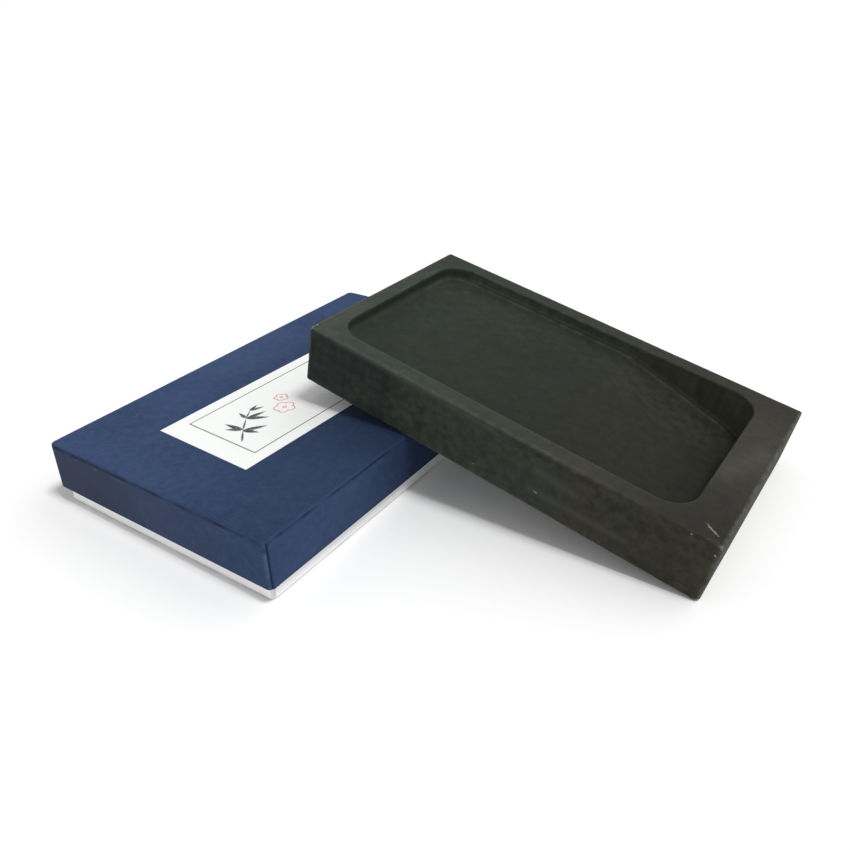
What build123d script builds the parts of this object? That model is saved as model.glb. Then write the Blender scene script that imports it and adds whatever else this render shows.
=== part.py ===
from build123d import *
import math
import os

# Ink stone with its two-part paper-covered case, in millimetres.
# The closed, empty case lies flat. The stone leans across the lid's long edge,
# and the foot of its low end stands on the surface that the case lies on.
# Origin: centre of the case's underside. X runs along the case, Z is up,
# and the stone runs out of the case's footprint towards -Y.

# Ink stone, outside sizes
stone_length = 152.2
stone_width = 88.5
stone_thickness = 22.5
stone_edge_radius = 0.7

# Well: a flat rubbing land at the high end, then a ramp down to the ink pool
high_rim = 6.0
low_rim = 13.2
side_rim = 6.7
well_corner_radius = 10.5
wall_draft = 3.0
land_depth = 5.0
land_length = 82.0
land_blend_radius = 32.0
floor_thickness = 6.3
toe_length = 5.0
toe_rise = 2.6
toe_radius = 8.0
foot_radius = 2.0
rim_edge_radius = 0.5

# Board, covering paper and lining paper of both halves of the case
board_thickness = 1.2
bend_radius = 0.8
corner_radius = 1.9
wrap_thickness = 0.2
liner_thickness = 0.15
liner_margin = 0.4
stay_thickness = 0.12
stay_leg = 9.0
seam_width = 0.25
seam_depth = 0.1

# Bare board inside each half, between the turned-in wrap and the panel
lid_bare_strip = 4.6
tray_bare_strip = 3.8

# Play of the packed stone in the tray, at each end and at each side
end_play = 1.9
side_play = 4.35

# How far the packed stone stands above the tray's rim
stone_proud = 1.8

# Play of the tray in the lid, on each side, and the band of tray left showing
lid_play = 0.3
tray_band = 5.8

# Label, glued a little askew in the middle of the lid
label_end_margin = 25.0
label_side_margin = 29.8
label_thickness = 0.12
label_turn = -2.3

# How the stone lies on the case
stone_offset = 30.7
lean_overlap = 44.9
lean_gap = 0.3

# One overrun for every cut
overrun = 3.0

# Sizes of the case that follow from the stone and the walls
wall = board_thickness + 2 * wrap_thickness
panel = board_thickness + wrap_thickness
tray_length = stone_length + 2 * (end_play + wall)
tray_width = stone_width + 2 * (side_play + wall)
tray_height = stone_thickness - stone_proud + liner_thickness + panel
case_length = tray_length + 2 * (lid_play + wall)
case_width = tray_width + 2 * (lid_play + wall)
case_height = tray_height + liner_thickness + panel
lid_height = case_height - tray_band
lid_edge_radius = bend_radius + wrap_thickness


def standing_box(length, width, height):
    """A plain block from z = 0 up, centred on Z."""
    return Box(length, width, height, align=(Align.CENTER, Align.CENTER, Align.MIN))


def rounded_block(length, width, height, upright_radius, foot_edge_radius):
    """A standing box that is rounded up its corners and round its foot."""
    block = standing_box(length, width, height)
    block = fillet(block.edges().filter_by(Axis.Z), upright_radius)
    foot = block.faces().sort_by(Axis.Z)[0].edges()
    return fillet(foot, foot_edge_radius)


def case_half(length, width, height, bare_strip):
    """Board, corner stays, wrap and liner of one half, made open at the top."""
    board_length = length - 2 * wrap_thickness
    board_width = width - 2 * wrap_thickness
    board_top = height - wrap_thickness
    room_length = board_length - 2 * board_thickness
    room_width = board_width - 2 * board_thickness
    edge_radius = bend_radius + wrap_thickness
    wrap_corner_radius = corner_radius + wrap_thickness

    block = rounded_block(
        board_length, board_width, board_top - wrap_thickness, corner_radius, bend_radius
    )
    block = Pos(0, 0, wrap_thickness) * block
    room = Pos(0, 0, panel) * standing_box(room_length, room_width, height)

    # Paper stays are pressed into the outside of the four folded corners
    core = standing_box(
        board_length - 2 * stay_thickness, board_width - 2 * stay_thickness, height
    )
    core = fillet(core.edges().filter_by(Axis.Z), corner_radius - stay_thickness)
    stay_height = board_top - edge_radius
    stays = Part()
    for place in GridLocations(board_length, board_width, 2, 2):
        zone = place * Pos(0, 0, edge_radius) * standing_box(
            2 * stay_leg, 2 * stay_leg, stay_height
        )
        stays += (block & zone) - core
    board = block - room - stays

    # The wrap covers the outside, turns over the rim and runs down the inside
    skin = rounded_block(length, width, height, wrap_corner_radius, edge_radius)
    skin = skin - block - room
    turn_in = height - panel - bare_strip
    lap = standing_box(room_length, room_width, turn_in) - standing_box(
        room_length - 2 * wrap_thickness, room_width - 2 * wrap_thickness, turn_in
    )
    wrap = skin + Pos(0, 0, height - turn_in) * lap

    # The wrap's cut edges meet in an upright seam beside each corner
    seam = Pos(0, 0, edge_radius) * standing_box(seam_width, 2 * seam_depth, height)
    for place in GridLocations(length - 2 * wrap_corner_radius, width, 2, 2):
        wrap -= place * seam

    liner = Pos(0, 0, panel) * standing_box(
        room_length - 2 * liner_margin, room_width - 2 * liner_margin, liner_thickness
    )
    return {"board": board, "corner_stays": stays, "wrap": wrap, "liner": liner}


def make_tray():
    """The white half, which holds the packed stone."""
    half = case_half(tray_length, tray_width, tray_height, tray_bare_strip)
    return {"tray_" + name: piece for name, piece in half.items()}


def make_lid():
    """The blue half, turned over and set down on the tray's rim."""
    half = case_half(case_length, case_width, lid_height, lid_bare_strip)
    down = Pos(0, 0, case_height) * Rot(180, 0, 0)
    return {"lid_" + name: down * piece for name, piece in half.items()}


def make_label():
    """A plain paper label on the lid's top."""
    sheet = standing_box(
        case_length - 2 * label_end_margin,
        case_width - 2 * label_side_margin,
        label_thickness,
    )
    return Pos(0, 0, case_height) * Rot(0, 0, label_turn) * sheet


def well_section():
    """The well's long section, from above the rim down to its floor."""
    start = high_rim - overrun
    land_end = high_rim + land_length
    end_wall = stone_length - low_rim
    toe_start = end_wall - toe_length
    stop = end_wall + overrun
    stop_height = floor_thickness + toe_rise * (stop - toe_start) / toe_length
    above = stone_thickness + overrun
    land = stone_thickness - land_depth
    outline = Polyline(
        (start, above),
        (start, land),
        (land_end, land),
        (toe_start, floor_thickness),
        (stop, stop_height),
        (stop, above),
        close=True,
    )
    face = make_face(Plane.XZ * outline)
    land_corner = face.vertices().sort_by_distance((land_end, 0, land))[0]
    face = fillet(land_corner, land_blend_radius)
    toe_corner = face.vertices().sort_by_distance((toe_start, 0, floor_thickness))[0]
    return fillet(toe_corner, toe_radius)


def make_well():
    """The solid that the well takes out of the block, with drafted walls."""
    well_length = stone_length - high_rim - low_rim
    well_width = stone_width - 2 * side_rim
    spread = overrun * math.tan(math.radians(wall_draft))
    mouth = RectangleRounded(
        well_length + 2 * spread, well_width + 2 * spread, well_corner_radius + spread
    )
    top = stone_thickness + overrun
    mouth = Pos(high_rim + well_length / 2, stone_width / 2, top) * mouth
    shaft = extrude(mouth, -top, taper=wall_draft)
    well = shaft & extrude(well_section(), stone_width, both=True)

    # The foot of the wall, all round the floor, is rounded
    flatness = [abs(face.normal_at().Z) for face in well.faces()]
    walls = [face for face, flat in zip(well.faces(), flatness) if flat < 0.5]
    floors = [face for face in well.faces() if face.normal_at().Z < -0.5]
    wall_edges = {edge for face in walls for edge in face.edges()}
    floor_edges = {edge for face in floors for edge in face.edges()}
    return fillet(ShapeList(wall_edges & floor_edges), foot_radius)


def lean_plane():
    """Where the stone lies: its high end's near lower corner, and its directions."""
    foot_to_lid = stone_length - lean_overlap - stone_edge_radius
    clear_of_lid = stone_edge_radius + lean_gap + lid_edge_radius
    rise = case_height - lid_edge_radius - stone_edge_radius
    reach = math.hypot(foot_to_lid, clear_of_lid)
    lean = math.atan2(clear_of_lid, foot_to_lid) + math.asin(rise / reach)
    run = foot_to_lid * math.cos(lean) + clear_of_lid * math.sin(lean)
    downhill = Vector(0, -math.cos(lean), -math.sin(lean))
    upright = Vector(0, -math.sin(lean), math.cos(lean))
    foot_y = lid_edge_radius - case_width / 2 - run
    foot = Vector(stone_offset - stone_width / 2, foot_y, stone_edge_radius)
    corner = foot - downhill * (stone_length - stone_edge_radius)
    corner -= upright * stone_edge_radius
    return Plane(origin=corner, x_dir=downhill, z_dir=upright)


def make_stone():
    """The carved stone, leaning across the lid's long edge."""
    block = Box(stone_length, stone_width, stone_thickness, align=Align.MIN)
    block = fillet(block.edges(), stone_edge_radius)
    stone = block - make_well()
    mouth = stone.faces().sort_by(Axis.Z)[-1].inner_wires()[0]
    stone = fillet(mouth.edges(), rim_edge_radius)
    return lean_plane() * stone


def main():
    """Write one file for each sub-part."""
    parts = {"ink_stone": make_stone(), "label": make_label()}
    parts.update(make_lid())
    parts.update(make_tray())
    os.makedirs("parts", exist_ok=True)
    for name, piece in parts.items():
        piece.label = name
        export_step(piece, f"parts/{name}.step")


if __name__ == "__main__":
    main()
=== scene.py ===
import math

import bmesh
import bpy
import numpy as np
from mathutils import Matrix, Vector, noise


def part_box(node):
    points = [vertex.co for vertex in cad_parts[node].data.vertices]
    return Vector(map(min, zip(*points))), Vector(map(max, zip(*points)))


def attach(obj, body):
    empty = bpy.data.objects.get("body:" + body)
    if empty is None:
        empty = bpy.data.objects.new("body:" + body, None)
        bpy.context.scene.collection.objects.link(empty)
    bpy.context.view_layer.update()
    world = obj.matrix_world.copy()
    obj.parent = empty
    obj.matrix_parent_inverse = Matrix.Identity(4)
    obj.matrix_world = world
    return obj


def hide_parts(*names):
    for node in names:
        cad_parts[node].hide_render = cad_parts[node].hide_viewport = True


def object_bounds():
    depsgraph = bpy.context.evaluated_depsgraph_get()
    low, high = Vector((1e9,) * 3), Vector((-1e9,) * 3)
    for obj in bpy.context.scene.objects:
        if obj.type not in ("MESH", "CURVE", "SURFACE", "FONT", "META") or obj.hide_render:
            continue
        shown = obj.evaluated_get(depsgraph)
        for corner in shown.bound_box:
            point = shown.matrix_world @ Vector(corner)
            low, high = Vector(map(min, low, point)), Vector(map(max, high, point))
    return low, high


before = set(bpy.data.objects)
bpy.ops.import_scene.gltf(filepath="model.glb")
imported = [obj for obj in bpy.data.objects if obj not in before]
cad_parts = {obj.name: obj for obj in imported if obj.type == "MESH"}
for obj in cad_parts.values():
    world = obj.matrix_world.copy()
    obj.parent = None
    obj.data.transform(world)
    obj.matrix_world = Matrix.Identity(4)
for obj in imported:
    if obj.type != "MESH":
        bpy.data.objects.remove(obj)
cad_low, cad_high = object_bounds()

# An ink stone that leans on its closed, paper-covered case.
# Lengths are in metres in the CAD model's frame, and colours are 8-bit sRGB, but for the
# floor's, which are linear. The tables of marks and of print are in millimetres.
MM = 0.001

# Camera, as fitted to the outlines in the photograph
CAMERA_PLACE = (-0.20638, -0.20396, 0.17287)
CAMERA_TURN_DEG = (63.392, 2.046, -55.627)
CAMERA_LENS = 35.408
CAMERA_SHIFT = (-0.0157, -0.0697)
CAMERA_NEAREST = 10 * MM

# Light: lamps as turn in degrees, softness in degrees and level, and a white surround
KEY_LAMP = ((25.0, 0.0, 0.0), 13.0, 0.49)
RIGHT_LAMP = ((50.0, 0.0, 50.0), 70.0, 0.19)
LEFT_LAMP = ((76.0, 0.0, -80.0), 40.0, 0.045)
SURROUND_LEVEL = 0.35

# Floor: its tones where it is seen and where it lights things, its side and its gap
FLOOR_SEEN = (1.0, 1.0, 1.0, 1.0)
FLOOR_LIT = (0.95, 0.95, 0.94, 1.0)
FLOOR_SIDE = 8.0
FLOOR_GAP = 0.05 * MM

# The range that most values of a noise lie in
NOISE_RANGE = (0.3, 0.7)

# Stone: its even mesh, its unevenness, and its well's mouth as two corners and their radius
WELD_DISTANCE = 0.001 * MM
STONE_CELL = 0.66 * MM
UNEVEN_SIZE = 11 * MM
UNEVEN_DEPTH = 0.04 * MM
WELL_MOUTH = ((6.0 * MM, 6.7 * MM), (139.0 * MM, 81.8 * MM))
WELL_CORNER_RADIUS = 10.5 * MM

# Stone: where its zones set in, from and to. A name says how they are measured: in from the
# outline, up from the underside, down from the top, along from the high end, across from
# the near side, or by how far the surface faces up.
WELL_IN = (4.5 * MM, 6 * MM)
WELL_UP = (4 * MM, 5 * MM)
GROUND_DOWN = (0.2 * MM, 1.2 * MM)
SAWN_DOWN = (0.3 * MM, 1.6 * MM)
WALL_DOWN = (0.5 * MM, 2 * MM)
WALL_FACING = (0.3, 0.6)
FOOT_DOWN = (2 * MM, 4 * MM)
FOOT_ACROSS_SHARES = (0.6, 0.8)
MOUTH_DOWN = (0.8 * MM, 2 * MM)

# Stone: the two stretches in which painted light on its well's wall sets in and makes it paler:
# from, to and share
WALL_LIGHT_ALONG = ((10 * MM, 20 * MM, 0.6), (126 * MM, 136 * MM, 0.4))

# Stone: the wear of its outer edges, from and to off an edge, and the share of it that is
# left on long edges, past a reach from their ends, and lost towards the low end
WEAR_OFF_EDGE = (0.3 * MM, 1.4 * MM)
WEAR_OFF_END = (1 * MM, 3 * MM)
LONG_EDGE_SHARE = 0.6
LOW_END_ALONG = (95 * MM, 125 * MM)
LOW_END_LOSS_SHARE = 0.7

# Stone: the wear along its well's mouth, and a painted highlight on the foot of the well's
# wall, where the foot faces up so far, give or take its width
MOUTH_WEAR_WIDTH = 0.7 * MM
MOUTH_WEAR_SHARE = 0.3
FOOT_FACING = 0.84
FOOT_FACING_WIDTH = 0.12
FOOT_HIGHLIGHT_SHARE = 0.45

# Slate: the sizes of its grain, mottle, clouds, streaks and hairlines, how far the clouds
# shift its changes of tone, and its relief
GRAIN_SIZE = 0.5 * MM
MOTTLE_SIZE = 3.2 * MM
CLOUD_SIZE = 13 * MM
STREAK_SIZE = 2.2 * MM
HAIR_SIZE = 0.5 * MM
TONE_DRIFT = 22 * MM
SLATE_RELIEF = 0.06 * MM

# Slate: where its colours change along the stone, from and to
HONED_ALONG = (40 * MM, 125 * MM)
CARVED_ALONG = (30 * MM, 95 * MM)
SAWN_HIGH_ALONG = (15 * MM, 50 * MM)
SAWN_LOW_ALONG = (85 * MM, 120 * MM)

# Slate: factors of its colours, low and high, over the mottle of its smooth and its sawn
# faces and over its clouds
SMOOTH_TONES = (0.86, 1.14)
SAWN_TONES = (0.72, 1.32)
CLOUD_TONES = (0.90, 1.10)

# Slate: factors of its colours that change from one value to another: the streaks on the
# well's wall, which also carry painted light that makes it two to three times paler, and
# painted shade towards the far rim
WALL_STREAK_LIGHT_TONES = (0.35, 0.65, 2.4, 3.1)
FAR_RIM_SHADE_TONES = (65 * MM, 80 * MM, 1.0, 0.76)

# Stone: marks in its own axes (downhill, across, up), in millimetres
STONE_CHIPS = (
    # a ball that bites into the stone: its centre, then its radius
    ((-0.5, -1.2, 23.0), 2.3),
    ((-1.0, 2.6, 23.8), 2.25),
    ((0.2, -0.9, 20.6), 1.1),
    ((153.4, -0.9, -1.2), 3.1),
    ((151.9, -1.9, 0.4), 2.1),
    ((153.0, -1.0, 23.4), 2.65),
    ((143.0, -1.0, 22.3), 1.2),
    ((152.9, 21.0, 23.5), 1.65),
    ((98.0, 89.6, 23.2), 1.9),
)
STONE_SCRATCHES = (
    # a sharp, pale mark: from, to and width
    ((145.2, 6.5, 22.5), (149.4, 3.8, 22.5), 0.40),
    ((146.0, 5.7, 22.5), (148.3, 4.4, 22.5), 0.90),
    ((150.9, 0.0, 18.8), (151.1, 0.0, 18.6), 0.85),
    ((142.8, 0.0, 21.7), (143.0, 0.0, 21.6), 0.60),
    ((72.4, 0.0, 4.2), (72.6, 0.0, 4.1), 0.55),
    ((95.2, 0.0, 6.6), (95.9, 0.0, 6.5), 0.65),
    ((0.5, 0.8, 22.1), (0.5, 1.0, 22.1), 1.7),
    ((0.6, 2.6, 22.2), (0.6, 2.9, 22.2), 1.5),
)
STONE_SCUFFS = (
    # a soft, pale mark, given in the same way
    ((93.0, 0.0, 6.6), (126.0, 0.0, 6.9), 3.8),
    ((94.0, 0.0, 14.8), (108.0, 0.0, 13.2), 4.6),
    ((59.0, 0.0, 20.6), (76.0, 0.0, 20.4), 2.8),
    ((114.5, 0.0, 20.2), (118.5, 0.0, 19.9), 1.6),
    ((151.2, 0.0, 15.4), (151.3, 0.0, 13.5), 2.0),
    ((150.6, 0.0, 12.8), (151.5, 0.0, 11.8), 1.8),
    ((151.4, 0.0, 6.5), (151.4, 0.0, 2.8), 2.2),
    ((141.5, 33.0, 22.5), (148.5, 52.0, 22.5), 12.0),
    ((3.0, 2.0, 22.5), (3.0, 26.0, 22.5), 9.0),
    ((4.0, 3.0, 22.5), (9.0, 3.0, 22.5), 6.0),
    ((97.5, 0.0, 6.6), (103.5, 0.0, 6.4), 0.9),
    ((12.0, 0.0, 21.4), (56.0, 0.0, 21.2), 2.6),
    ((147.2, 0.8, 22.5), (150.4, 1.6, 22.5), 1.2),
    ((146.0, 0.0, 21.3), (146.4, 0.0, 21.1), 1.1),
)
STONE_DARK_MARKS = (
    # a soft, dark mark, given in the same way
    ((88.0, 0.0, 20.4), (117.0, 0.0, 20.2), 3.2),
    ((118.0, 0.0, 15.5), (138.0, 0.0, 16.5), 4.5),
)

# Stone: the corner of its top that handling has darkened, in millimetres, and the two
# distances from it between which the colours' factor changes, with its values there
HANDLED_CORNER = (152.0, 0.0, 22.5)
HANDLED_TONES = (10 * MM, 45 * MM, 0.62, 1.0)

# Stone: how far from its middle line a mark is at full strength and how far its sides waver,
# as shares of its width. Below 0, the mark never gets to full strength.
SCRATCH_CORE_SHARE = 0.2
SCUFF_CORE_SHARE = -0.2
RAGGED_SHARE = 0.3

# Stone: the fine mesh round its chips, the depths between which they turn pale, and the size
# of their speckles
CHIP_MARGIN = 1.2 * MM
CHIP_DEPTHS = (0.02 * MM, 0.2 * MM)
SPECKLE_SIZE = 1.5 * MM

# Stone: dents in its outer edges, at random, with radii and depths in millimetres, and how
# far its rounded edges lie inside sharp ones
NICK_COUNT = 110
NICK_SEED = 11
NICK_RADII = (1.2, 4.5)
NICK_DEPTHS = (0.02, 0.16)
EDGE_CUTBACK = 0.29 * MM

# Case: papers and boards, as in the CAD model
PAPER = 0.2 * MM
BOARD = 1.2 * MM
WALL = BOARD + 2 * PAPER
CORNER_RADIUS = 2.1 * MM
EDGE_RADIUS = 1.0 * MM
LID_TURN_IN = 12.0 * MM
TRAY_TURN_IN = 17.05 * MM

# Case: the papers' meshes, fine on both sides of the panel's edge, the height of the folded
# rim, and the steps round the edge, down the wall, round the rim and back up the turn-in
FINE_CELL = 0.25 * MM
COARSE_CELL = 2.0 * MM
FINE_ZONE = 4.0 * MM
CREASE_ZONE = 2.5 * MM
FOLD_HEIGHT = 0.6 * MM
EDGE_STEPS = 6
WALL_STEPS = 15
FOLD_STEPS = 8
TURN_IN_STEPS = 7

# Case: the papers' swells, their creases (place past the edge, width and depth), which also
# carry painted shade, and the size of the breaks in them. The tray's crease has no depth and
# is only a painted shade line along its lower edge.
SWELL = 0.04 * MM
SWELL_SIZE = 24 * MM
LID_CREASE = (0.9 * MM, 0.6 * MM, 0.13 * MM)
TRAY_SHADE_LINE = (0.1 * MM, 0.3 * MM, 0.0)
CREASE_BREAK_SIZE = 5 * MM

# Case: the papers' upright seams at the corners, the lap beside each, the puckers over the
# corners, and how near the lid's rim its shade sets in and is full
SEAM_TURN_DEG = 62.0
SEAM_WIDTH = 0.28 * MM
SEAM_DEPTH = 0.16 * MM
LAP_HEIGHT = 0.05 * MM
PUCKER_REACH = 3.5 * MM
PUCKER_SIZE = 1.1 * MM
PUCKER_DEPTH = 0.09 * MM
RIM_SHADE = (0.75 * MM, 0.3 * MM)

# Lid's paper: painted light, by which its panel grows paler towards the back and its walls
# darker, the way in which its walls grow greyer, and the place where the stone rests, round
# which it is given painted shade. A fade is given as two distances and its values there.
FADE_DIRECTION = (-0.15, 1.0, 0.0)
PANEL_LIGHT_FADE = (-40 * MM, 40 * MM, 0.84, 1.16)
WALL_LIGHT_FADE = (-40 * MM, 60 * MM, 1.14, 0.88)
GREY_FADE = (-30 * MM, 50 * MM, 0.0, 0.5)
STONE_REST = (30 * MM, -45 * MM, 24 * MM)
STONE_SHADE_FADE = (50 * MM, 95 * MM, 0.74, 1.0)

# Papers and boards: the sizes of their clouds, mottle, threads and fibres, and their relief
LID_CLOUD_SIZE = 30 * MM
LID_MOTTLE_SIZE = 3.5 * MM
THREAD_SIZE = 0.35 * MM
LID_RELIEF = 0.03 * MM
TRAY_CLOUD_SIZE = 8 * MM
TRAY_FIBRE_SIZE = 0.6 * MM
TRAY_RELIEF = 0.02 * MM
LABEL_FIBRE_SIZE = 0.5 * MM
LABEL_RELIEF = 0.015 * MM
INNER_CLOUD_SIZE = 6 * MM
INNER_FIBRE_SIZE = 0.6 * MM
INNER_RELIEF = 0.05 * MM

# Label, in its own axes, along and across, and the fine mesh that carries its print
LABEL_TURN_DEG = -2.3
LABEL_THICKNESS = 0.12 * MM
BORDER_INSET = (8.7 * MM, 5.3 * MM)
BORDER_WIDTH = 0.6 * MM
PRINT_CELL = 0.2 * MM
PRINT_ZONE = ((-47 * MM, -11 * MM), (-9.5 * MM, 9.5 * MM))

# Label's print: bamboo in brush strokes with soft sides, and blossoms in outline
BAMBOO = (
    # millimetres: root, direction in degrees, length and width of each stroke
    (-45.5, -8.0, 46, 8.0, 0.8),
    (-40.1, -2.3, 40, 8.5, 0.7),
    (-33.8, 3.1, 33, 6.0, 0.6),
    (-40.4, -2.5, -32, 9.0, 2.1),
    (-40.4, -2.5, -66, 6.5, 1.8),
    (-40.0, -2.1, 96, 8.5, 2.0),
    (-40.0, -2.1, 122, 6.5, 1.7),
    (-33.9, 2.9, -14, 8.0, 1.9),
    (-33.9, 2.9, -48, 8.5, 2.0),
    (-33.7, 3.2, 78, 5.2, 1.5),
    (-29.3, 6.2, -22, 5.6, 1.5),
    (-29.3, 6.2, 12, 4.6, 1.3),
)
BLOSSOMS = (
    # millimetres: centre and petal radius
    (-20.2, -2.6, 1.75),
    (-15.6, 4.0, 1.15),
)
PETAL_COUNT = 5
STROKE_SOFTNESS = 0.15
OUTLINE_FADE = (0.12, 0.34)


def colour(red, green, blue):
    """An sRGB colour of 0 to 255 as the linear colour that a shader takes."""
    shares = np.array([red, green, blue]) / 255
    linear = np.where(shares <= 0.04045, shares / 12.92, ((shares + 0.055) / 1.055) ** 2.4)
    return (*linear, 1.0)


def rise(values, start, end):
    """0 up to start, 1 from end on, and smooth in between."""
    t = np.clip((values - start) / (end - start), 0, 1)
    return t * t * (3 - 2 * t)


def ridge(values, width):
    """1 where the values are 0, falling to nothing within about twice the width."""
    return np.exp(-((values / width) ** 2))


def waves(points, size, seed):
    """Smooth noise of about -1 to 1 at each point, in bumps about as wide as size."""
    shift = Vector((seed, -seed, seed / 2))
    return np.array([noise.noise(Vector(p) / size + shift) for p in points])


class Look:
    """One procedural material, built by short calls that add its nodes and return sockets."""

    def __init__(self, name, uniform):
        """Starts a material, with uniform values on the shader's own sockets."""
        self.material = bpy.data.materials.new(name)
        self.material.use_nodes = True
        self.tree = self.material.node_tree
        self.shader = self.tree.nodes["Principled BSDF"]
        for socket, value in uniform.items():
            self.shader.inputs[socket].default_value = value

    def add(self, kind, inputs, **settings):
        """A new node, whose inputs are other nodes' sockets or plain values."""
        node = self.tree.nodes.new("ShaderNode" + kind)
        for key, value in settings.items():
            setattr(node, key, value)
        for key, value in inputs.items():
            if isinstance(value, bpy.types.NodeSocket):
                self.tree.links.new(value, node.inputs[key])
            else:
                node.inputs[key].default_value = value
        return node

    def place(self, stretch=(1, 1, 1), turn_deg=0.0):
        """Where the surface is in its object's own axes, scaled and then turned about Z."""
        where = self.add("TexCoord", {}).outputs["Object"]
        turn = (0, 0, math.radians(turn_deg))
        return self.add("Mapping", {"Vector": where, "Rotation": turn, "Scale": stretch}).outputs[0]

    def noise(self, where, size, detail, roughness):
        """Noise of 0 to 1, in bumps about as wide as size."""
        values = {"Vector": where, "Scale": 1 / size, "Detail": detail, "Roughness": roughness}
        return self.add("TexNoise", values).outputs[0]

    def attribute(self, name):
        """A number that is kept with the mesh's vertices."""
        return self.add("Attribute", {}, attribute_name=name).outputs["Fac"]

    def between(self, value, low, high, start=0.0, end=1.0):
        """From start to end while the value goes from low to high, and level beyond."""
        return self.add("MapRange", {0: value, 1: low, 2: high, 3: start, 4: end}).outputs[0]

    def vary(self, value, start, end):
        """From start to end over the range that most values of a noise lie in."""
        return self.between(value, *NOISE_RANGE, start, end)

    def math(self, operation, first, second=0.0):
        """A sum or the like of one or two numbers."""
        return self.add("Math", {0: first, 1: second}, operation=operation).outputs[0]

    def blend(self, share, first, second):
        """The first colour, with a share of the second over it."""
        values = {0: share, 6: first, 7: second}
        return self.add("Mix", values, data_type="RGBA").outputs[2]

    def vector(self, operation, output, first, second, scale=1.0):
        """A sum or the like of vectors, which is a vector (output 0) or a number (output 1)."""
        values = {0: first, 1: second, 3: scale}
        return self.add("VectorMath", values, operation=operation).outputs[output]

    def scale(self, vector, factor):
        """A vector or a colour times a number."""
        return self.vector("SCALE", 0, vector, (0, 0, 0), factor)

    def stroke(self, where, start, end, width, core_share, ragged):
        """1 on the core of a straight mark on the surface, 0 past its ragged sides."""
        start, end = Vector(start) * MM, Vector(end) * MM
        run = end - start
        away = self.vector("SUBTRACT", 0, where, start)
        along = self.vector("DOT_PRODUCT", 1, away, run / run.length_squared)
        nearest = self.scale(run, self.between(along, 0, 1))
        distance = self.vector("DISTANCE", 1, away, nearest)
        waver = self.vary(ragged, -RAGGED_SHARE * width, RAGGED_SHARE * width)
        distance = self.math("ADD", distance, waver)
        return self.between(distance, width / 2, core_share * width)

    def strokes(self, where, marks, core_share, ragged):
        """1 on any of several marks."""
        total = 0.0
        for start, end, width in marks:
            mark = self.stroke(where, start, end, width * MM, core_share, ragged)
            total = self.math("MAXIMUM", total, mark)
        return total

    def bump(self, height, depth):
        """Gives the surface a fine relief of the given depth."""
        normal = self.add("Bump", {"Height": height, "Distance": depth}).outputs[0]
        self.tree.links.new(normal, self.shader.inputs["Normal"])

    def drive(self, socket, value):
        """Lets a value drive one of the shader's sockets."""
        self.tree.links.new(value, self.shader.inputs[socket])


def slate_tones(look, where, mottle, clouds):
    """The slate's colours before its marks: honed on top, carved in the well, sawn outside, with
    painted light on the well's wall and painted shade towards the far rim.
    """
    along, across, _ = look.add("SeparateXYZ", {0: where}).outputs
    drifted = look.math("ADD", along, look.vary(clouds, -TONE_DRIFT, TONE_DRIFT))
    honed = look.blend(look.between(drifted, *HONED_ALONG), colour(56, 62, 56), colour(55, 54, 49))
    from_corner = look.vector("DISTANCE", 1, where, Vector(HANDLED_CORNER) * MM)
    handled = look.between(from_corner, *HANDLED_TONES)
    # Painted shade: the honed top darker towards the far rim
    far_rim_shade = look.between(across, *FAR_RIM_SHADE_TONES)
    honed = look.scale(honed, look.math("MULTIPLY", far_rim_shade, handled))
    carved = look.blend(look.between(drifted, *CARVED_ALONG), colour(43, 49, 42), colour(39, 40, 34))
    rough = look.blend(look.between(drifted, *SAWN_HIGH_ALONG), colour(40, 46, 44), colour(51, 56, 50))
    rough = look.blend(look.between(drifted, *SAWN_LOW_ALONG), rough, colour(51, 50, 43))
    sawn = look.attribute("sawn")
    base = look.blend(look.attribute("ground"), honed, carved)
    base = look.blend(sawn, base, rough)

    smooth = look.vary(mottle, *SMOOTH_TONES)
    tone = look.between(sawn, 0, 1, smooth, look.vary(mottle, *SAWN_TONES))
    tone = look.math("MULTIPLY", tone, look.vary(clouds, *CLOUD_TONES))
    # Painted light: the wall's streaks also make it two to three times paler
    streaks = look.noise(look.place((1, 1, 0.06)), STREAK_SIZE, 1.0, 0.5)
    streaked_and_lit = look.between(streaks, *WALL_STREAK_LIGHT_TONES)
    tone = look.math("MULTIPLY", tone, look.between(look.attribute("wall_painted_light"), 0, 1, 1.0, streaked_and_lit))
    return look.scale(base, tone)


def slate_marks(look, where, base, grain, mottle):
    """The slate's colour with its marks, its wear and a painted highlight, and the hairlines and
    scratches alone.
    """
    dark_mark = look.strokes(where, STONE_DARK_MARKS, SCUFF_CORE_SHARE, mottle)
    base = look.blend(look.math("MULTIPLY", dark_mark, 0.5), base, colour(34, 33, 29))
    scuff = look.strokes(where, STONE_SCUFFS, SCUFF_CORE_SHARE, mottle)
    scuff = look.math("MULTIPLY", scuff, look.vary(grain, 0.12, 0.38))
    base = look.blend(scuff, base, colour(98, 98, 91))
    hair = look.noise(look.place((1, 0.05, 1), 38), HAIR_SIZE, 2.0, 0.6)
    hairlines = look.between(hair, 0.66, 0.8, 0.0, 0.10)
    base = look.blend(hairlines, base, colour(104, 107, 98))
    # Wear on the edges and the mouth, and a painted highlight on the well's foot
    patchy = look.between(mottle, 0.35, 0.65, 0.15, 0.8)
    wear_highlight_share = look.math("MULTIPLY", look.attribute("wear_and_highlight"), patchy)
    base = look.blend(wear_highlight_share, base, colour(90, 92, 82))
    base = look.blend(look.attribute("chip"), base, colour(142, 145, 134))
    scratches = look.strokes(where, STONE_SCRATCHES, SCRATCH_CORE_SHARE, grain)
    base = look.blend(look.math("MULTIPLY", scratches, 0.8), base, colour(136, 137, 127))
    return base, hairlines, scratches


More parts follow.
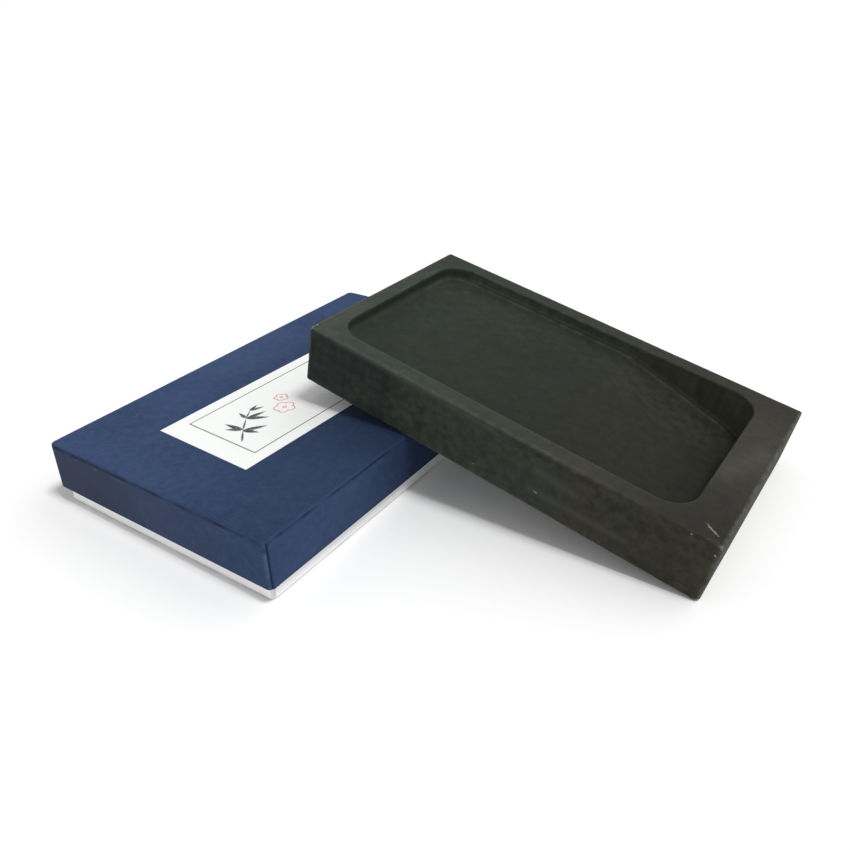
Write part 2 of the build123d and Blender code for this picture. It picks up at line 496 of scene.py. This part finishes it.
def slate_look():
    """Honed slate, green at its high end and brown at its low end, paler where it is worn, with painted
    light on the well's wall and foot and painted shade towards the far rim.
    """
    look = Look("slate", {"Specular IOR Level": 0.05})
    where = look.place()
    grain = look.noise(where, GRAIN_SIZE, 3.0, 0.65)
    mottle = look.noise(where, MOTTLE_SIZE, 3.0, 0.6)
    clouds = look.noise(where, CLOUD_SIZE, 2.0, 0.5)
    base = slate_tones(look, where, mottle, clouds)
    base, hairlines, scratches = slate_marks(look, where, base, grain, mottle)
    look.drive("Base Color", base)
    look.drive("Roughness", look.vary(clouds, 0.56, 0.66))
    height = look.math("ADD", grain, look.math("MULTIPLY", hairlines, -1.5))
    height = look.math("ADD", height, look.math("MULTIPLY", mottle, 0.8))
    look.bump(look.math("SUBTRACT", height, scratches), SLATE_RELIEF)
    return look.material


def lid_paper_look():
    """Navy covering paper with a fine cloth grain, with painted light that pales its panel towards the
    back and darkens it round the stone, painted shade in its creases and along its rim, and a rubbed
    strip with a painted highlight along its folds.
    """
    look = Look("blue_paper", {"Roughness": 0.7, "Specular IOR Level": 0.08})
    where = look.place()
    panel = look.attribute("panel")
    towards = look.vector("DOT_PRODUCT", 1, where, FADE_DIRECTION)
    # Painted light: the panel paler and the walls darker towards the back, as the light falls
    panel_light = look.between(towards, *PANEL_LIGHT_FADE)
    wall_light = look.between(towards, *WALL_LIGHT_FADE)
    painted_light = look.between(panel, 0, 1, wall_light, panel_light)
    # Painted shade: darker round where the stone rests on the lid and shades it
    from_stone = look.vector("DISTANCE", 1, where, STONE_REST)
    painted_light = look.math("MULTIPLY", painted_light, look.between(from_stone, *STONE_SHADE_FADE))

    clouds = look.noise(where, LID_CLOUD_SIZE, 2.0, 0.5)
    mottle = look.noise(where, LID_MOTTLE_SIZE, 3.0, 0.6)
    warp = look.noise(look.place((0.12, 1, 1)), THREAD_SIZE, 2.0, 0.5)
    weft = look.noise(look.place((1, 0.12, 1)), THREAD_SIZE, 2.0, 0.5)
    weave = look.math("ADD", warp, weft)
    base = look.blend(look.vary(clouds, 0.0, 1.0), colour(38, 55, 86), colour(48, 66, 98))
    base = look.blend(look.between(mottle, 0.5, 0.75, 0.0, 0.4), base, colour(66, 72, 104))
    base = look.blend(look.between(mottle, 0.5, 0.25, 0.0, 0.4), base, colour(28, 54, 72))
    base = look.blend(look.between(weave, 0.8, 1.25, 0.0, 0.25), base, colour(74, 88, 116))
    greyed = look.math("SUBTRACT", look.between(towards, *GREY_FADE), panel)
    base = look.blend(greyed, base, colour(52, 53, 65))
    base = look.scale(base, painted_light)

    # A rubbed strip with a painted highlight beside the folds
    rub_and_highlight = look.math("MULTIPLY", look.attribute("edge_strip_light_shade"), look.between(mottle, 0.35, 0.65))
    base = look.blend(rub_and_highlight, base, colour(70, 90, 124))
    # Painted shade in the creases along the panel's edges, broken up
    patchy = look.between(mottle, 0.3, 0.6, 0.35, 0.95)
    painted_crease_shade = look.math("MULTIPLY", look.attribute("crease_and_shade"), patchy)
    base = look.blend(painted_crease_shade, base, colour(16, 24, 42))
    # Dark seams, and painted shade along the lid's rim
    base = look.blend(look.attribute("seam"), base, colour(10, 16, 28))
    look.drive("Base Color", base)
    look.bump(weave, LID_RELIEF)
    return look.material


def tray_paper_look():
    """Smooth white covering paper, with a painted shade line along its lower edge, painted shade beside
    it and beside its seams, and grey seams.
    """
    look = Look("white_paper", {"Roughness": 0.6, "Specular IOR Level": 0.4})
    where = look.place()
    clouds = look.noise(where, TRAY_CLOUD_SIZE, 3.0, 0.6)
    fibre = look.noise(where, TRAY_FIBRE_SIZE, 3.0, 0.6)
    base = look.blend(clouds, colour(243, 243, 245), colour(250, 250, 251))
    # Painted shade beside the lower edge's line and beside the seams
    base = look.blend(look.attribute("edge_strip_light_shade"), base, colour(226, 226, 229))
    # Painted shade: a grey line along the lower edge, where shade falls under it
    patchy = look.between(fibre, 0.3, 0.6, 0.6, 1.0)
    painted_crease_shade = look.math("MULTIPLY", look.attribute("crease_and_shade"), patchy)
    base = look.blend(painted_crease_shade, base, colour(92, 91, 88))
    base = look.blend(look.attribute("seam"), base, colour(190, 190, 192))
    look.drive("Base Color", base)
    look.bump(fibre, TRAY_RELIEF)
    return look.material


def plain_paper_look(name, pale, dark, fleck):
    """Uncoated paper or board with loose fibres; fleck is how much they show."""
    look = Look(name, {"Roughness": 0.85, "Specular IOR Level": 0.3})
    fibre = look.noise(look.place((1, 0.35, 1), 20), INNER_FIBRE_SIZE, 4.0, 0.7)
    clouds = look.noise(look.place(), INNER_CLOUD_SIZE, 3.0, 0.6)
    base = look.blend(look.vary(clouds, 0.0, 0.5), pale, dark)
    base = look.blend(look.between(fibre, 0.5, 0.75, 0.0, fleck), base, dark)
    look.drive("Base Color", base)
    look.bump(fibre, INNER_RELIEF)
    return look.material


def label_look(half_size):
    """Uncoated white paper, printed with a thin border, bamboo in ink and pale blossoms."""
    look = Look("label_paper", {"Roughness": 0.75, "Specular IOR Level": 0.3})
    where = look.place()
    fibre = look.noise(where, LABEL_FIBRE_SIZE, 3.0, 0.6)
    base = look.blend(fibre, colour(242, 244, 242), colour(249, 250, 249))
    sides = look.add("SeparateXYZ", {0: where}).outputs
    beyond = []
    for side, half, inset in zip(sides, half_size, BORDER_INSET):
        beyond.append(look.math("SUBTRACT", look.math("ABSOLUTE", side), half - inset))
    off_line = look.math("ABSOLUTE", look.math("MAXIMUM", *beyond))
    border = look.between(off_line, 0.55 * BORDER_WIDTH, 0.35 * BORDER_WIDTH)
    border = look.math("MULTIPLY", border, look.between(fibre, 0.25, 0.5, 0.6, 0.95))
    base = look.blend(border, base, colour(104, 106, 102))
    base = look.blend(look.attribute("blossom"), base, colour(222, 148, 142))
    ink = look.math("MULTIPLY", look.attribute("bamboo"), look.between(fibre, 0.3, 0.55, 0.7, 1.0))
    base = look.blend(ink, base, colour(44, 48, 50))
    look.drive("Base Color", base)
    look.bump(fibre, LABEL_RELIEF)
    return look.material


def new_piece(name, mesh, body, slot, look, *nodes, place=Matrix.Identity(4)):
    """A shown mesh that rides on a body and stands for some of the CAD nodes."""
    piece = bpy.data.objects.new(name, mesh)
    bpy.context.scene.collection.objects.link(piece)
    piece.matrix_world = place
    mesh.materials.clear()
    mesh.materials.append(look)
    mesh.shade_smooth()
    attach(piece, body)
    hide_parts(*nodes)
    return piece


def store(mesh, name, values):
    """Keeps one number per vertex for the material to read."""
    attribute = mesh.attributes.new(name, "FLOAT", "POINT")
    attribute.data.foreach_set("value", np.asarray(values, np.float32))


def vertex_array(mesh, kind="co"):
    """The vertices' places or normals as rows of three numbers."""
    values = np.zeros(3 * len(mesh.vertices), np.float32)
    mesh.vertices.foreach_get(kind, values)
    return values.reshape(-1, 3).astype(float)


def move_to(mesh, points):
    """Puts the vertices in new places."""
    mesh.vertices.foreach_set("co", points.astype(np.float32).ravel())
    mesh.update()


def stone_axes():
    """The stone's own axes, downhill, across and up out of its top, and its size."""
    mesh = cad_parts["ink_stone"].data
    downward = [face for face in mesh.polygons if face.normal.z < -0.9]
    up = -max(downward, key=lambda face: face.area).normal
    across = Vector((1, 0, 0))
    turn = Matrix((across.cross(up), across, up))
    points = np.array([turn @ vertex.co for vertex in mesh.vertices])
    low, high = Vector(points.min(0)), Vector(points.max(0))
    back = turn.transposed()
    return Matrix.Translation(back @ low) @ back.to_4x4(), high - low


def even_mesh(mesh, cell):
    """The same shape as a dense, even mesh whose vertices lie on the given surface."""
    welded = bmesh.new()
    welded.from_mesh(mesh)
    bmesh.ops.remove_doubles(welded, verts=welded.verts, dist=WELD_DISTANCE)
    welded.to_mesh(mesh)
    welded.free()
    source = bpy.data.objects.new("source", mesh)
    copy = bpy.data.objects.new("copy", mesh.copy())
    for each in (source, copy):
        bpy.context.scene.collection.objects.link(each)
    remesh = copy.modifiers.new("remesh", "REMESH")
    remesh.mode = "VOXEL"
    remesh.voxel_size = cell
    copy.modifiers.new("wrap", "SHRINKWRAP").target = source
    graph = bpy.context.evaluated_depsgraph_get()
    dense = bpy.data.meshes.new_from_object(copy.evaluated_get(graph))
    for each in (source, copy):
        bpy.data.objects.remove(each)
    return dense


def refine(mesh, balls):
    """Divides the mesh's edges inside some balls in three."""
    fine = bmesh.new()
    fine.from_mesh(mesh)
    edges = set()
    for centre, radius in balls:
        for edge in fine.edges:
            if all((vertex.co - centre).length < radius for vertex in edge.verts):
                edges.add(edge)
    bmesh.ops.subdivide_edges(fine, edges=list(edges), cuts=2, use_grid_fill=True)
    fine.to_mesh(mesh)
    fine.free()


def bite(points, centre, radius):
    """Pushes the points inside a ball out to its surface, and returns how far each went."""
    away = points - centre
    distance = np.linalg.norm(away, axis=1)
    depth = np.clip(radius - distance, 0, None)
    points += away * (depth / distance)[:, None]
    return depth


def nicks(size):
    """Balls that take small dents out of the stone's outer edges, at random."""
    random = np.random.default_rng(NICK_SEED)
    half = np.array(size) / 2
    balls = []
    for _ in range(NICK_COUNT):
        along = random.integers(3)
        side = np.where(random.random(3) < 0.5, -1.0, 1.0)
        place = half * side
        place[along] = half[along] * random.uniform(-1, 1)
        outward = side * random.uniform(0.4, 1.0, 3)
        outward[along] = 0.0
        outward /= np.linalg.norm(outward)
        radius = random.uniform(*NICK_RADII) * MM
        depth = random.uniform(*NICK_DEPTHS) * MM
        balls.append((half + place + outward * (radius - depth - EDGE_CUTBACK), radius))
    return balls


def beyond_mouth(points):
    """How far outside the well's mouth each point lies, seen from above; negative inside."""
    start, end = np.array(WELL_MOUTH)
    over = np.abs(points[:, :2] - (start + end) / 2) - (end - start) / 2 + WELL_CORNER_RADIUS
    return np.hypot(*np.clip(over, 0, None).T) + np.clip(over.max(1), None, 0) - WELL_CORNER_RADIUS


def stone_zones(points, facing, size):
    """How far each point is in the well, on a sawn side, on the well's wall, and worn, with the painted
    highlight at the wall's foot.
    """
    along, across, height = points.T
    ends = np.minimum(along, size.x - along)
    sides = np.minimum(across, size.y - across)
    inward = np.minimum(ends, sides)
    down = size.z - height
    well = rise(inward, *WELL_IN) * rise(height, *WELL_UP)

    # Mask for the painted light on the well's wall, by how steep it faces, setting in along the stone
    wall_painted_light = well * rise(down, *WALL_DOWN) * (1 - rise(facing, *WALL_FACING))
    wall_painted_light *= sum(share * rise(along, start, end) for start, end, share in WALL_LIGHT_ALONG)
    # Mask for a painted highlight on the foot of the far wall, where it faces up so far
    foot_highlight = well * rise(down, *FOOT_DOWN) * ridge(facing - FOOT_FACING, FOOT_FACING_WIDTH)
    foot_highlight *= rise(across, *(share * size.y for share in FOOT_ACROSS_SHARES))
    mouth = ridge(beyond_mouth(points), MOUTH_WEAR_WIDTH) * (1 - rise(down, *MOUTH_DOWN))

    to_edge = np.hypot(inward, np.minimum(down, height))
    to_edge = np.minimum(to_edge, np.hypot(ends, sides))
    off_ends = rise(ends, *WEAR_OFF_END)
    edges = 1 - rise(to_edge, *WEAR_OFF_EDGE)
    edges *= LONG_EDGE_SHARE + (1 - LONG_EDGE_SHARE) * (1 - off_ends)
    edges *= 1 - LOW_END_LOSS_SHARE * rise(along, *LOW_END_ALONG) * off_ends
    return {
        "ground": well * rise(down, *GROUND_DOWN),
        "sawn": (1 - well) * rise(down, *SAWN_DOWN),
        "wall_painted_light": wall_painted_light,
        "wear_and_highlight": np.maximum.reduce([edges, MOUTH_WEAR_SHARE * mouth, FOOT_HIGHLIGHT_SHARE * foot_highlight]),
    }


def ink_stone():
    """The carved slate, with worn, nicked and chipped edges."""
    place, size = stone_axes()
    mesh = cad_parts["ink_stone"].data.copy()
    mesh.transform(place.inverted())
    mesh = even_mesh(mesh, STONE_CELL)
    chips = [(Vector(centre) * MM, radius * MM) for centre, radius in STONE_CHIPS]
    refine(mesh, [(centre, radius + CHIP_MARGIN) for centre, radius in chips])
    points = vertex_array(mesh)
    normals = vertex_array(mesh, "normal")
    zones = stone_zones(points, normals[:, 2], size)

    points -= normals * (UNEVEN_DEPTH * (1 + waves(points, UNEVEN_SIZE, seed=3.0)))[:, None]
    for centre, radius in nicks(size):
        bite(points, centre, radius)
    fresh = sum(bite(points, np.array(centre), radius) for centre, radius in chips)
    move_to(mesh, points)
    speckled = rise(waves(points, SPECKLE_SIZE, seed=2.0), -0.6, 0.4)
    zones["chip"] = rise(fresh, *CHIP_DEPTHS) * speckled
    for name, shares in zones.items():
        store(mesh, name, shares)
    return new_piece("ink_stone_carved", mesh, "stone", "slate", slate_look(), "ink_stone", place=place)


def spread(half):
    """Grid places from -half to half, finer near both ends."""
    edge = np.arange(half - FINE_ZONE, half, FINE_CELL)
    edge = np.append(edge[1:], half)
    inner = half - FINE_ZONE
    middle = np.linspace(-inner, inner, 2 * round(inner / COARSE_CELL) + 1)
    return np.concatenate([-edge[::-1], middle, edge])


def wall_stations(depth, turn_in):
    """Insets and heights down the wall, round its folded rim and back up inside."""
    arc = np.radians(np.linspace(0, 90, EDGE_STEPS + 1)[1:])
    stations = [(EDGE_RADIUS * (1 - math.sin(a)), EDGE_RADIUS * (1 - math.cos(a))) for a in arc]
    creased_to = EDGE_RADIUS + CREASE_ZONE
    fold_start = depth - FOLD_HEIGHT
    stations += [(0.0, h) for h in np.arange(EDGE_RADIUS + FINE_CELL, creased_to, FINE_CELL)]
    stations += [(0.0, h) for h in np.linspace(creased_to, fold_start, WALL_STEPS + 1)]
    for a in np.radians(np.linspace(0, 180, FOLD_STEPS + 1)[1:]):
        stations.append((WALL / 2 * (1 - math.cos(a)), depth - FOLD_HEIGHT * (1 - math.sin(a))))
    inner = np.linspace(fold_start, depth - turn_in, TURN_IN_STEPS + 1)[1:]
    return stations + [(WALL, h) for h in inner]


def rounded(place, half, inset):
    """The point of the case's outline that lies outward of a grid place, and its direction."""
    sign = np.where(np.array(place) < 0, -1.0, 1.0)
    core = half - CORNER_RADIUS
    beyond = np.abs(place) - core
    if beyond.min() > 0:
        outward = beyond / np.hypot(*beyond)
    else:
        outward = np.array([1.0, 0.0]) if beyond[0] > beyond[1] else np.array([0.0, 1.0])
    base = np.minimum(np.abs(place), core)
    turn = math.degrees(math.atan2(outward[1], outward[0]))
    return sign * (base + outward * (CORNER_RADIUS - inset)), turn


def covering(name, node, panel_z, rim_z, turn_in):
    """The paper over one half of the case: panel, walls, folded rim and turn-in.

    Returns its mesh and, for each vertex, its inset from the outline, its height from the
    panel towards the rim, and the way it faces, from 0 degrees at an end to 90 at a side."""
    low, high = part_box(node)
    half = np.array([(high.x - low.x) / 2, (high.y - low.y) / 2])
    xs, ys = (spread(side - EDGE_RADIUS) for side in half)
    up = 1 if panel_z > rim_z else -1
    places, insets, heights, turns, faces = [], [], [], [], []

    def point(place, inset, height):
        flat, turn = rounded(place, half, inset) if inset < CORNER_RADIUS else (place, 0.0)
        places.append(flat)
        insets.append(inset)
        heights.append(height)
        turns.append(turn)
        return len(places) - 1

    grid = {}
    for i, x in enumerate(xs):
        for j, y in enumerate(ys):
            grid[i, j] = point((x, y), min(half[0] - abs(x), half[1] - abs(y)), 0.0)
    last_i, last_j = len(xs) - 1, len(ys) - 1
    for i in range(last_i):
        for j in range(last_j):
            faces.append((grid[i, j], grid[i + 1, j], grid[i + 1, j + 1], grid[i, j + 1]))

    around = [(i, 0) for i in range(last_i)] + [(last_i, j) for j in range(last_j)]
    around += [(i, last_j) for i in range(last_i, 0, -1)] + [(0, j) for j in range(last_j, 0, -1)]
    ring = [grid[key] for key in around]
    for inset, height in wall_stations(abs(rim_z - panel_z), turn_in):
        lower = [point((xs[i], ys[j]), inset, height) for i, j in around]
        for k, after in enumerate(range(1 - len(ring), 1)):
            faces.append((ring[k], lower[k], lower[after], ring[after]))
        ring = lower

    points = np.column_stack([np.array(places), panel_z - up * np.array(heights)])
    if up < 0:
        faces = [face[::-1] for face in faces]
    mesh = bpy.data.meshes.new(name)
    mesh.from_pydata(points.tolist(), [], faces)
    mesh.update()
    return mesh, np.array(insets), np.array(heights), np.array(turns)


def thicken(piece, thickness):
    """Gives a sheet its thickness, below its outer face."""
    solid = piece.modifiers.new("thickness", "SOLIDIFY")
    solid.thickness = thickness
    solid.offset = -1
    return piece


def swell(points):
    """How far paper stands off its board, the same for a sheet that is glued on it."""
    return SWELL * (1 + waves(points * (1, 1, 0), SWELL_SIZE, seed=5.0))


def case_paper(name, body, slot, look, node, panel_z, rim_z, turn_in, crease_line):
    """One half's covering paper, with its creased edge, its corner seams and its puckers."""
    depth = abs(rim_z - panel_z)
    crease_place, crease_width, crease_depth = crease_line
    mesh, inset, height, turn = covering(name, node, panel_z, rim_z, turn_in)
    points = vertex_array(mesh)
    normals = vertex_array(mesh, "normal")
    outside = np.where(height == 0, 1.0, 1 - rise(inset, 0.3 * WALL, 0.6 * WALL))
    free = outside if panel_z > rim_z else outside * rise(height, 0, EDGE_RADIUS)

    over = height - inset
    broken = waves(points, CREASE_BREAK_SIZE, seed=9.0)
    crease_and_shade = ridge(over - crease_place, crease_width) * rise(broken, -0.7, 0.3)
    corner = np.hypot(*(np.abs(points[:, :2]).max(0) - np.abs(points[:, :2])).T)
    to_corner = np.hypot(corner, np.abs(points[:, 2] - panel_z))
    pucker = ridge(to_corner, PUCKER_REACH) * waves(points, PUCKER_SIZE, seed=4.0)
    off_seam = CORNER_RADIUS * np.radians(turn - SEAM_TURN_DEG)
    upright = outside * rise(height, 0.6 * EDGE_RADIUS, 1.2 * EDGE_RADIUS)
    seam = ridge(off_seam, SEAM_WIDTH) * upright
    lap = rise(off_seam, 0, SEAM_WIDTH) * rise(turn, 1, 30) * (1 - rise(turn, 89, 90))

    lift = swell(points) + LAP_HEIGHT * lap * upright + PUCKER_DEPTH * pucker
    lift -= crease_depth * crease_and_shade + SEAM_DEPTH * seam
    points += normals * (free * np.maximum(lift, -0.9 * PAPER))[:, None]
    move_to(mesh, points)

    shaded_from, shaded_to = RIM_SHADE
    rim = rise(height, depth - shaded_from, depth - shaded_to) * outside * (panel_z > rim_z)
    # Strips beside the seams and the crease that carry painted light: a highlight on the lid, where the
    # paper is also rubbed, and shade on the tray
    beside = ridge(off_seam + 3 * SEAM_WIDTH, 2 * SEAM_WIDTH) * upright * rise(turn, 0.5, 5)
    strip = ridge(over - crease_place - 2 * crease_width, crease_width)
    beside = np.maximum(beside, 0.6 * strip * rise(broken, 0, 0.5))
    # The crease's mask carries painted shade as well as the groove
    store(mesh, "crease_and_shade", crease_and_shade * outside)
    # The seam's mask also carries painted shade along the lid's rim
    store(mesh, "seam", np.maximum(seam, 0.8 * rim))
    store(mesh, "panel", 1 - rise(height, 0, EDGE_RADIUS / 2))
    store(mesh, "edge_strip_light_shade", beside * outside)
    return thicken(new_piece(name, mesh, body, slot, look, node), PAPER)


def pen_stroke(points, root, turn_deg, length, width):
    """1 inside a brush stroke that is pointed at both ends."""
    turn = math.radians(turn_deg)
    away = points - root
    along = (away[:, 0] * math.cos(turn) + away[:, 1] * math.sin(turn)) / length
    aside = np.abs(away[:, 1] * math.cos(turn) - away[:, 0] * math.sin(turn))
    half = width / 2 * np.sin(math.pi * np.clip(along, 0, 1) ** 0.7)
    inside = (along > 0) & (along < 1)
    return inside * (1 - rise(aside - half, -STROKE_SOFTNESS, STROKE_SOFTNESS))


def blossom(points, centre, petal):
    """1 on the outlines of a flower's petals and on its middle."""
    away = points - centre
    turn = np.arctan2(away[:, 1], away[:, 0])
    sector = 2 * math.pi / PETAL_COUNT
    folded = (turn + sector / 2) % sector - sector / 2
    distance = np.hypot(*away.T)
    across = distance * np.cos(folded) - 1.25 * petal
    outline = np.abs(np.hypot(across, distance * np.sin(folded)) - petal)
    outline = np.where(distance > 0.5 * petal, outline, 1.0)
    middle = np.abs(distance - 0.35 * petal)
    return 1 - rise(np.minimum(outline, middle), *OUTLINE_FADE)


def label():
    """The paper label, glued on askew, with its print."""
    low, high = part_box("label")
    turn = Matrix.Rotation(math.radians(LABEL_TURN_DEG), 4, "Z")
    place = Matrix.Translation((0, 0, low.z)) @ turn
    corners = np.array([turn.inverted() @ v.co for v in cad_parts["label"].data.vertices])
    half_size = corners[:, :2].max(0)
    lines = []
    for half, (start, stop) in zip(half_size, PRINT_ZONE):
        before = np.linspace(-half, start, max(2, round((start + half) / COARSE_CELL)))
        after = np.linspace(stop, half, round((half - stop) / COARSE_CELL))
        lines.append(np.concatenate([before[:-1], np.arange(start, stop, PRINT_CELL), after]))
    xs, ys = lines
    across = len(ys)
    flat = np.array([(x, y) for x in xs for y in ys])
    faces = [
        (i * across + j, (i + 1) * across + j, (i + 1) * across + j + 1, i * across + j + 1)
        for i in range(len(xs) - 1)
        for j in range(across - 1)
    ]
    on_lid = np.array([place @ Vector((x, y, 0)) for x, y in flat])
    heights = high.z - low.z + swell(on_lid)
    mesh = bpy.data.meshes.new("label")
    mesh.from_pydata(np.column_stack([flat, heights]).tolist(), [], faces)
    mesh.update()

    printed = flat / MM
    strokes = [pen_stroke(printed, (x, y), *shape) for x, y, *shape in BAMBOO]
    store(mesh, "bamboo", np.max(strokes, axis=0))
    flowers = [blossom(printed, (x, y), petal) for x, y, petal in BLOSSOMS]
    store(mesh, "blossom", np.max(flowers, axis=0))
    look = label_look(half_size)
    piece = new_piece("label_sheet", mesh, "lid", "label_paper", look, "label", place=place)
    mesh.shade_flat()
    return thicken(piece, LABEL_THICKNESS)


def dress(node, look):
    """Gives a CAD node a material in place of its plain one."""
    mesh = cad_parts[node].data
    mesh.materials.clear()
    mesh.materials.append(look)


def seen_share(tree):
    """1 for rays that are seen, mirrored or shown through, and 0 for those that light things."""
    path = tree.nodes.new("ShaderNodeLightPath")
    seen = path.outputs["Is Camera Ray"]
    for also in ("Is Glossy Ray", "Is Transmission Ray"):
        either = tree.nodes.new("ShaderNodeMath")
        either.operation = "MAXIMUM"
        tree.links.new(seen, either.inputs[0])
        tree.links.new(path.outputs[also], either.inputs[1])
        seen = either.outputs[0]
    return seen


def surround():
    """An even white world, at full strength only where it is seen or mirrored."""
    world = bpy.data.worlds.new("surround")
    bpy.context.scene.world = world
    world.use_nodes = True
    tree = world.node_tree
    level = tree.nodes.new("ShaderNodeMapRange")
    level.inputs[3].default_value = SURROUND_LEVEL
    level.inputs[4].default_value = 1.0
    tree.links.new(seen_share(tree), level.inputs[0])
    background = tree.nodes["Background"]
    background.inputs["Color"].default_value = (1, 1, 1, 1)
    tree.links.new(level.outputs[0], background.inputs["Strength"])


def floor_look():
    """Plain matt white, a little less white for the light that it throws back."""
    material = bpy.data.materials.new("floor")
    material.use_nodes = True
    tree = material.node_tree
    tree.nodes.remove(tree.nodes["Principled BSDF"])
    mix = tree.nodes.new("ShaderNodeMixShader")
    tree.links.new(seen_share(tree), mix.inputs[0])
    for socket, tone in ((1, FLOOR_LIT), (2, FLOOR_SEEN)):
        diffuse = tree.nodes.new("ShaderNodeBsdfDiffuse")
        diffuse.inputs["Color"].default_value = tone
        tree.links.new(diffuse.outputs[0], mix.inputs[socket])
    tree.links.new(mix.outputs[0], tree.nodes["Material Output"].inputs[0])
    return material


def floor():
    """The pale surface that the case and the stone's foot stand on."""
    half = FLOOR_SIDE / 2
    corners = [(-half, -half, 0), (half, -half, 0), (half, half, 0), (-half, half, 0)]
    mesh = bpy.data.meshes.new("floor")
    mesh.from_pydata(corners, [], [(0, 1, 2, 3)])
    mesh.materials.append(floor_look())
    ground = bpy.data.objects.new("floor", mesh)
    ground.location.z = cad_low.z - FLOOR_GAP
    bpy.context.scene.collection.objects.link(ground)


def lamp(name, turn_deg, softness_deg, level):
    """A distant lamp that lights a level surface by the given share of full white."""
    light = bpy.data.lights.new(name, "SUN")
    light.energy = level * math.pi / math.cos(math.radians(turn_deg[0]))
    light.angle = math.radians(softness_deg)
    holder = bpy.data.objects.new(name, light)
    holder.rotation_euler = [math.radians(turn) for turn in turn_deg]
    bpy.context.scene.collection.objects.link(holder)


def camera():
    """The camera at the photograph's place."""
    lens = bpy.data.cameras.new("camera")
    lens.lens = CAMERA_LENS
    lens.shift_x, lens.shift_y = CAMERA_SHIFT
    lens.clip_start = CAMERA_NEAREST
    holder = bpy.data.objects.new("camera", lens)
    holder.location = CAMERA_PLACE
    holder.rotation_euler = [math.radians(turn) for turn in CAMERA_TURN_DEG]
    bpy.context.scene.collection.objects.link(holder)
    bpy.context.scene.camera = holder


bpy.context.scene.view_settings.view_transform = "Standard"
camera()
surround()
floor()
lamp("key", *KEY_LAMP)
lamp("right", *RIGHT_LAMP)
lamp("left", *LEFT_LAMP)

lid_low, lid_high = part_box("lid_wrap")
tray_low, tray_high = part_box("tray_wrap")
ink_stone()
case_paper(
    "lid_paper", "lid", "blue_paper", lid_paper_look(), "lid_wrap",
    lid_high.z, lid_low.z, LID_TURN_IN, LID_CREASE,
)
case_paper(
    "tray_paper", "tray", "white_paper", tray_paper_look(), "tray_wrap",
    tray_low.z, tray_high.z, TRAY_TURN_IN, TRAY_SHADE_LINE,
)
label()
greyboard = plain_paper_look("greyboard", colour(158, 152, 140), colour(108, 104, 98), 0.6)
kraft = plain_paper_look("kraft_paper", colour(186, 152, 112), colour(140, 108, 74), 0.5)
lining = plain_paper_look("lining_paper", colour(240, 237, 228), colour(214, 210, 200), 0.3)
for half_name in ("lid", "tray"):
    dress(half_name + "_board", greyboard)
    dress(half_name + "_corner_stays", kraft)
    dress(half_name + "_liner", lining)
